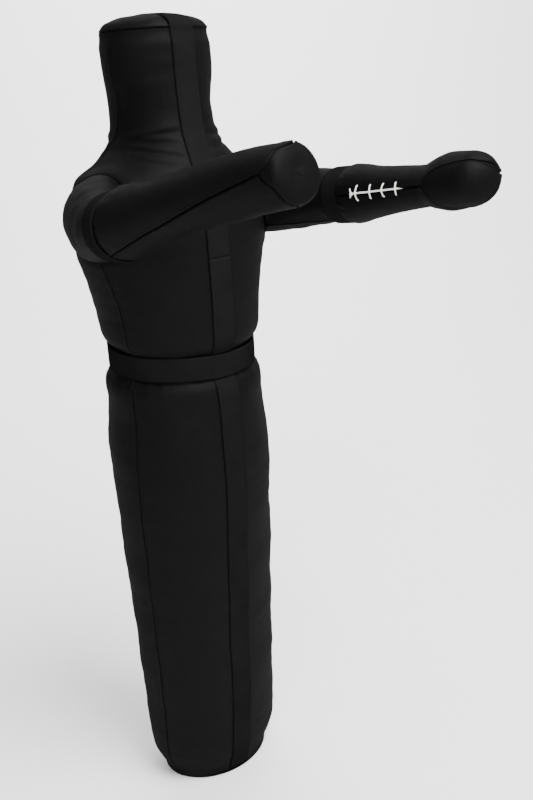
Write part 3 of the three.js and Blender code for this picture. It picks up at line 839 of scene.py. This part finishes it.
class Arm:
    """The measures of one arm, from the joints and the fillings of the frame."""

    def __init__(self, name):
        self.name = name
        self.side = -1 if name == "right" else 1
        self.shoulder = np.array(joints[f"{name}_shoulder_raise"]["pos_m"])
        self.elbow = np.array(joints[f"{name}_elbow_bend"]["pos_m"])
        self.upper = ArmFrame(self.shoulder, self.elbow - self.shoulder)
        self.upper_length = np.linalg.norm(self.elbow - self.shoulder)
        filling = np.array([v.co for v in frame["nodes"][f"{name}_forearm_filling"].data.vertices])
        reach = np.linalg.norm(filling - self.elbow, axis=1)
        tip = filling[reach > reach.max() - 0.0015].mean(0)
        self.lower = ArmFrame(self.elbow, tip - self.elbow)
        self.length = np.linalg.norm(tip - self.elbow) + LIMB_INSET
        x, y, z = self.lower.local(filling)
        order = np.argsort(z)
        starts = np.flatnonzero(np.diff(z[order], prepend=-1) > 0.001)
        rings = [r for r in np.split(order, starts[1:]) if len(r) >= 16 and z[r].mean() > 0.05]
        along = [z[r].mean() for r in rings]
        self.width = cubic_through(along, [np.abs(x[r]).max() + LIMB_INSET for r in rings])
        self.height = cubic_through(along, [np.abs(y[r]).max() + LIMB_INSET for r in rings])
        band = np.array([v.co for v in frame["nodes"][f"{name}_arm_band"].data.vertices])
        self.cuff = ArmFrame(self.elbow, self.upper.z + self.lower.z)
        x, y, _ = self.cuff.local(band)
        self.band_radius = np.hypot(x, y).max()
        self.outline = self.make_outline()

    def make_outline(self):
        """Distance, half width and half height along the forearm's outline, by share of its length."""
        cap, square = HAND[self.name]["cap"], HAND[self.name]["square"]
        start = self.length - cap
        straight = np.linspace(ROOT, start, 400)
        turn = np.linspace(0, np.pi / 2, 200)[1:]
        along = np.concatenate([straight, start + cap * np.sin(turn) ** (2 / square)])
        scale = np.concatenate([np.ones(len(straight)), np.maximum(np.cos(turn), 0.0) ** (2 / square)])
        scale = np.maximum(scale, 0.004)
        out = along - ROOT_EDGE
        settle = np.exp(-((np.maximum(out - ROOT_TURN, 0) / ROOT_SETTLE) ** 2))
        swell = np.sqrt(1 - (1 - np.clip(out / ROOT_TURN, 0, 1)) ** 2)
        inside = self.band_radius - ROOT_TUCK

        def girth(plain):
            full = plain + (self.band_radius + 0.001 - plain) * settle
            return (inside + (full - inside) * swell) * scale

        width = girth(self.width(np.minimum(along, start)))
        height = girth(self.height(np.minimum(along, start)))
        steps = np.hypot(np.diff(along), np.diff((width + height) / 2))
        share = np.concatenate([[0], np.cumsum(steps)])
        self.outline_length = share[-1]
        share = share / share[-1]

        def at(where):
            return [np.interp(where, share, column) for column in (along, width, height)]

        return at

    def turned(self, degrees):
        """The angle in the arm's axes of an angle from its inner side over the top."""
        return np.radians(180 - degrees if self.side > 0 else degrees)

    def forearm_grid(self, degrees, shares):
        along, width, height = self.outline(shares)
        angle = self.turned(degrees)
        x, y = width * np.cos(angle), height * np.sin(angle)
        # The root is square to the band, which is tilted against the forearm.
        across = x * (self.lower.x @ self.cuff.z) + y * (self.lower.y @ self.cuff.z)
        tilt = across / (self.lower.z @ self.cuff.z)
        settle = np.exp(-((np.maximum(along - ROOT_EDGE, 0) / 0.09) ** 2))
        lift = cubic_through(*zip(*BOW[self.name]))(along)
        return self.lower.place(x, y + lift, along - tilt * settle)

    def on_leather(self, along, degrees, lift):
        """A point that far above the forearm's leather."""
        shares = np.linspace(0, 1, 1500)
        share = np.interp(along, self.outline(shares)[0], shares)
        point = self.forearm_grid(np.array(degrees, float), np.array(share))
        x, y, _ = self.lower.local(point)
        return point + unit(x * self.lower.x + y * self.lower.y) * lift


def outward_grid(points, axis_frame):
    """The grid with its columns in the order that makes its normals point away from the axis."""
    normals = grid_normals(points)
    x, y, _ = axis_frame.local(points)
    away = x[..., None] * axis_frame.x + y[..., None] * axis_frame.y
    flip = (normals * away).sum() < 0
    return (points[:, ::-1] if flip else points), flip


def palm_edge(arm, degrees):
    angles, shares = zip(*PALM_EDGE[arm.name])
    return cubic_through(angles, shares)(degrees)


def lower_seam(shares):
    places, angles = zip(*LOWER_SEAM)
    return cubic_through(places, angles)(shares)


def forearm_relief(points, to_seam, shares):
    relief = seam_profile(to_seam)
    pucker = waves(points, 0.016, 21, stretch=(1, 1, 1))
    relief += 0.0004 * pucker * np.exp(-to_seam / 0.010)
    relief += 0.0007 * waves(points, 0.11, 22)
    relief += 0.0002 * waves(points, 0.030, 23)
    root = np.exp(-(((shares - 0.10) / 0.07) ** 2))
    return relief + 0.0008 * root * waves(points, 0.026, 24, stretch=(0.6, 2.0, 0.6))


def forearm_panel(arm, part):
    """The outer panel, over the top and outside, or the panel below it."""
    step = 0.004
    v = spread(0.40, step, False, True)
    u = spread(0.20 if part == "outer" else 0.13, step)
    seam = lower_seam(v * CORNER_SHARE)
    if part == "outer":
        last = u * CORNER_ANGLE
        degrees = seam[:, None] * u[None, :]
    else:
        last = CORNER_ANGLE + u * (360 - CORNER_ANGLE)
        degrees = seam[:, None] + (360 - seam[:, None]) * u[None, :]
    shares = v[:, None] * palm_edge(arm, last)[None, :]
    points = arm.forearm_grid(degrees, shares)
    across, along = arc_lengths(points, 1), arc_lengths(points, 0)
    to_seam = np.minimum(np.minimum(across, across[:, -1:] - across), along[-1:] - along)
    points, flip = outward_grid(points, arm.lower)
    if flip:
        to_seam, shares = to_seam[:, ::-1], shares[:, ::-1]
    points = points + grid_normals(points) * forearm_relief(points, to_seam, shares)[..., None]
    piece = sheet_piece(f"{arm.name}_forearm_{part}_leather", points, LEATHER, LEATHER_MATERIAL)
    nodes = [f"{arm.name}_forearm_{part}_panel"]
    if part == "outer":
        nodes.append(f"{arm.name}_forearm_filling")
    follow_elbow(arm, piece, nodes)


def palm_panel(arm):
    """The panel on the inner side of the hand, which also closes its end."""
    degrees = full_turn(180)
    v = spread(0.09, 0.003, True, False)
    edge = palm_edge(arm, degrees)
    shares = edge[None, :] + (1 - edge[None, :]) * v[:, None]
    points = arm.forearm_grid(np.repeat(degrees[None, :], len(v), axis=0), shares)
    to_seam = arc_lengths(points, 0)
    closed = np.concatenate([points, points[:, :1]], axis=1)
    _, flip = outward_grid(closed, arm.lower)
    if flip:
        points, to_seam, closed = points[:, ::-1], to_seam[:, ::-1], closed[:, ::-1]
    normals = grid_normals(closed)
    normals = normals[:, :-1] if not flip else normals[:, 1:]
    fade = np.clip((1 - v) * 8, 0, 1)[:, None]
    relief = forearm_relief(points, to_seam, np.ones(points.shape[:2])) * fade
    points = points + normals * relief[..., None]
    piece = sheet_piece(
        f"{arm.name}_forearm_palm_leather", points, LEATHER, LEATHER_MATERIAL, True, normals
    )
    follow_elbow(arm, piece, [f"{arm.name}_forearm_palm_panel"])


def follow_elbow(arm, piece, nodes):
    span = [arm.lower.place(0, 0, along) for along in ELBOW_SPAN]
    finish_piece(piece, nodes, (f"{arm.name}_upper_arm", f"{arm.name}_forearm"))


def armhole(arm, angles):
    """Points of the armhole on the body, by angle round the upper arm."""
    centre = arm.shoulder + np.array(ARMHOLE_SHIFT)
    out = np.cos(angles)[:, None] * arm.upper.x + np.sin(angles)[:, None] * arm.upper.y
    lean = np.radians(np.linspace(-85, 85, 341))
    ray = np.cos(lean)[None, :, None] * out[:, None, :] + np.sin(lean)[None, :, None] * arm.upper.z
    points = centre + ARMHOLE_RADIUS * ray
    x, y, z = points[..., 0], points[..., 1], points[..., 2]
    level = (x / body_width(z)) ** 2 + (y / body_depth(z)) ** 2 - 1
    crossing = np.argmax((level[:, 1:] > 0) & (level[:, :-1] <= 0), axis=1)
    rows = np.arange(len(angles))
    before, after = level[rows, crossing], level[rows, crossing + 1]
    share = (-before / (after - before))[:, None]
    return points[rows, crossing] * (1 - share) + points[rows, crossing + 1] * share


def sleeve(arm):
    """The sleeve from the armhole to below the band, closed by a seam on its underside."""
    u = spread(0.38, 0.004)
    v = spread(0.15, 0.0035, True, False)
    degrees = SLEEVE_SEAM + 360 * u
    angles = arm.turned(degrees)
    start = armhole(arm, angles)
    radius = arm.band_radius - WEBBING - 0.001
    inside_band = np.full_like(angles, -0.014)
    end = arm.cuff.place(radius * np.cos(angles), radius * np.sin(angles), inside_band)
    normal = unit(start * np.array([1 / 0.2**2, 1 / 0.17**2, 0]))
    leave = unit(0.62 * normal + 0.78 * arm.upper.z)
    gap = np.linalg.norm(end - start, axis=1, keepdims=True)
    arrive = arm.cuff.z[None, :]
    points = hermite(v[:, None, None], gap, start, end, 0.88 * leave, 0.78 * arrive)
    along, across = arc_lengths(points, 0), arc_lengths(points, 1)
    to_seam = np.minimum(along, np.minimum(across, across[:, -1:] - across))
    points, flip = outward_grid(points, arm.upper)
    if flip:
        to_seam = to_seam[:, ::-1]
    relief = seam_profile(to_seam) + 0.0009 * waves(points, 0.07, 31)
    relief += 0.0004 * waves(points, 0.028, 32)
    points = points + grid_normals(points) * relief[..., None]
    piece = sheet_piece(f"{arm.name}_sleeve_leather", points, LEATHER, LEATHER_MATERIAL)
    nodes = [f"{arm.name}_sleeve_panel", f"{arm.name}_upper_arm_filling"]
    span = [arm.upper.place(0, 0, along) for along in SHOULDER_SPAN]
    finish_piece(piece, nodes, ("torso", f"{arm.name}_upper_arm"))


def arm_band(arm):
    """The webbing band round the elbow."""
    angles = np.radians(full_turn(180))
    z = np.linspace(-STRAP / 2, STRAP / 2, 17)
    edge = np.abs(z) / (STRAP / 2)
    radius = arm.band_radius - 0.0010 * np.clip((edge - 0.85) / 0.15, 0, 1) ** 2
    radius = np.repeat(radius[:, None], len(angles), axis=1)
    along = np.repeat(z[:, None], len(angles), axis=1)
    points = arm.cuff.place(radius * np.cos(angles), radius * np.sin(angles), along)
    points = points + 0.0008 * waves(points, 0.12, 51)[..., None] * arm.cuff.z
    normals = ring_normals(points)
    piece = sheet_piece(f"{arm.name}_arm_band_webbing", points, WEBBING, WEBBING_MATERIAL, True, normals)
    follow_elbow(arm, piece, [f"{arm.name}_arm_band"])


def gusset(arm):
    """The small panel under the armhole, behind the side seam."""
    v = spread(GUSSET_HIGH - GUSSET_LOW, 0.003)
    u = spread(0.045, 0.003)
    z = GUSSET_LOW + (GUSSET_HIGH - GUSSET_LOW) * v
    reach = GUSSET_REACH * np.sqrt(np.clip(1 - (1 - np.clip(v / 0.75, 0, 1)) ** 2, 0.004, 1))
    degrees = arm.side * (SIDE_SEAM + reach[:, None] * u[None, :])
    heights = np.repeat(z[:, None], len(u), axis=1)
    points = body_grid(degrees, heights)
    across, along = arc_lengths(points, 1), arc_lengths(points, 0)
    to_seam = np.minimum(np.minimum(across, across[:, -1:] - across), along)
    if arm.side < 0:
        points, to_seam, heights = points[:, ::-1], to_seam[:, ::-1], heights[:, ::-1]
    normals = grid_normals(points)
    rise = 0.0016 * (1 - np.exp(-((to_seam / 0.003) ** 2))) - 0.0012
    relief = rise + broad_relief(points, heights) + armhole_shape(points)
    points = points + normals * relief[..., None]
    piece = sheet_piece(f"{arm.name}_gusset_leather", points, GUSSET_THICKNESS, LEATHER_MATERIAL)
    finish_piece(piece, [f"{arm.name}_underarm_gusset"], ("leg", "torso"))


# ------------------------------------------------------------------ lacing

LACE_WIDTH, LACE_HEIGHT = 0.0015, 0.0012  # half sizes of the flat lace
KNOT = 0.004  # radius of the knot at the lacing's start
LACE_LENGTH = 0.137  # from the knot to where the lace goes in
STITCH_PLACES = [0.011, 0.048, 0.084, 0.118]  # distances from the knot
STITCH_UP, STITCH_DOWN = 17.5, -12.5  # degrees from the inner side


def tube(path, up, width, height, sides=12):
    """Vertices and faces of a closed tube with an oval section along a path."""
    path = np.array(path)
    ahead = unit(np.gradient(path, axis=0))
    side = unit(np.cross(ahead, np.array(up)))
    top = np.cross(side, ahead)
    angles = np.linspace(0, 2 * np.pi, sides, endpoint=False)
    ring = width * np.cos(angles)[None, :, None] * side[:, None]
    ring = ring + height * np.sin(angles)[None, :, None] * top[:, None]
    vertices = (path[:, None] + ring).reshape(-1, 3)
    faces = []
    for i in range(len(path) - 1):
        for k in range(sides):
            n = (k + 1) % sides
            faces.append((i * sides + k, i * sides + n, (i + 1) * sides + n, (i + 1) * sides + k))
    faces.append(tuple(range(sides))[::-1])
    faces.append(tuple((len(path) - 1) * sides + k for k in range(sides)))
    return vertices, faces


def smooth_path(points, count):
    """A path of that many points on a smooth curve through the given ones."""
    points = np.array(points)
    span = 1 / (len(points) - 1)
    slope = np.gradient(points, span, axis=0)
    at = np.linspace(0, 1, count)
    i = np.clip(np.searchsorted(np.linspace(0, 1, len(points)), at) - 1, 0, len(points) - 2)
    t = (at / span - i)[:, None]
    return hermite(t, span, points[i], points[i + 1], slope[i], slope[i + 1])


def lace_tube(path, count):
    return (smooth_path(path, count), LACE_WIDTH, LACE_HEIGHT)


def stitch(arm, along, middle, lean):
    """Points of one stitch: out of the leather, over the straight run, and in again."""
    spots = [
        (STITCH_UP + 2, -0.005, 0.4),
        (STITCH_UP, 0.0006, 0.2),
        (STITCH_UP * 0.6, 0.0020, -0.4),
        (middle, 0.0034, -0.9),
        (STITCH_DOWN * 0.5, 0.0020, -0.4),
        (STITCH_DOWN, 0.0006, 0.3),
        (STITCH_DOWN - 2, -0.005, 0.5),
    ]
    return [arm.on_leather(along + lean * bow, degrees, lift) for degrees, lift, bow in spots]


def knot(arm, start, middle, up):
    """The knot's loop and its two short tails, as paths with their half sizes."""
    centre = arm.on_leather(start - 0.002, middle, 0.0026)
    turn = np.linspace(0, 2 * np.pi, 40)
    loop = (
        0.0020 * np.sin(turn)[:, None] * arm.lower.z
        + 0.0026 * np.cos(turn)[:, None] * arm.lower.y
        + 0.0010 * np.sin(2 * turn)[:, None] * up
    )
    paths = [(centre + loop[:-1], 0.0015, 0.0015)]
    for tail in (0.010, -0.008):
        ends = [centre, centre + arm.lower.y * tail * 0.5 + up * 0.001]
        ends.append(arm.on_leather(start - 0.006, middle + tail * 900, 0.0016))
        paths.append((smooth_path(ends, 14), 0.0014, 0.0012))
    return paths


def lacing(arm):
    """The lace along the slit: a straight run, stitches across it, and a knot at the elbow's end."""
    cad = np.array([v.co for v in frame["nodes"][f"{arm.name}_lacing"].data.vertices])
    start = arm.lower.local(cad)[2].min() + KNOT
    middle = (STITCH_UP + STITCH_DOWN) / 2
    up = arm.lower.x * -arm.side
    run = [arm.on_leather(a, middle, 0.0012) for a in np.linspace(start, start + LACE_LENGTH, 9)]
    run[-1] = arm.on_leather(start + LACE_LENGTH, middle, -0.004)
    paths = [lace_tube(run, 60)]
    for i, along in enumerate(STITCH_PLACES):
        paths.append(lace_tube(stitch(arm, start + along, middle, 0.0015 * (-1) ** i), 36))
    paths += knot(arm, start, middle, up)
    vertices, faces, count = [], [], 0
    for path, width, height in paths:
        points, sides = tube(path, up, width, height)
        vertices.append(points)
        faces += [tuple(index + count for index in face) for face in sides]
        count += len(points)
    piece = make_piece(f"{arm.name}_lace", np.concatenate(vertices), faces, LACE_MATERIAL)
    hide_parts(f"{arm.name}_lacing")
    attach(piece, f"{arm.name}_forearm")


def make_arms():
    for name in ("right", "left"):
        arm = Arm(name)
        sleeve(arm)
        arm_band(arm)
        forearm_panel(arm, "outer")
        forearm_panel(arm, "under")
        palm_panel(arm)
        gusset(arm)
        lacing(arm)


make_camera()
make_studio()
make_body_panels()
make_base()
make_cap()
make_straps()
make_belt()
make_arms()
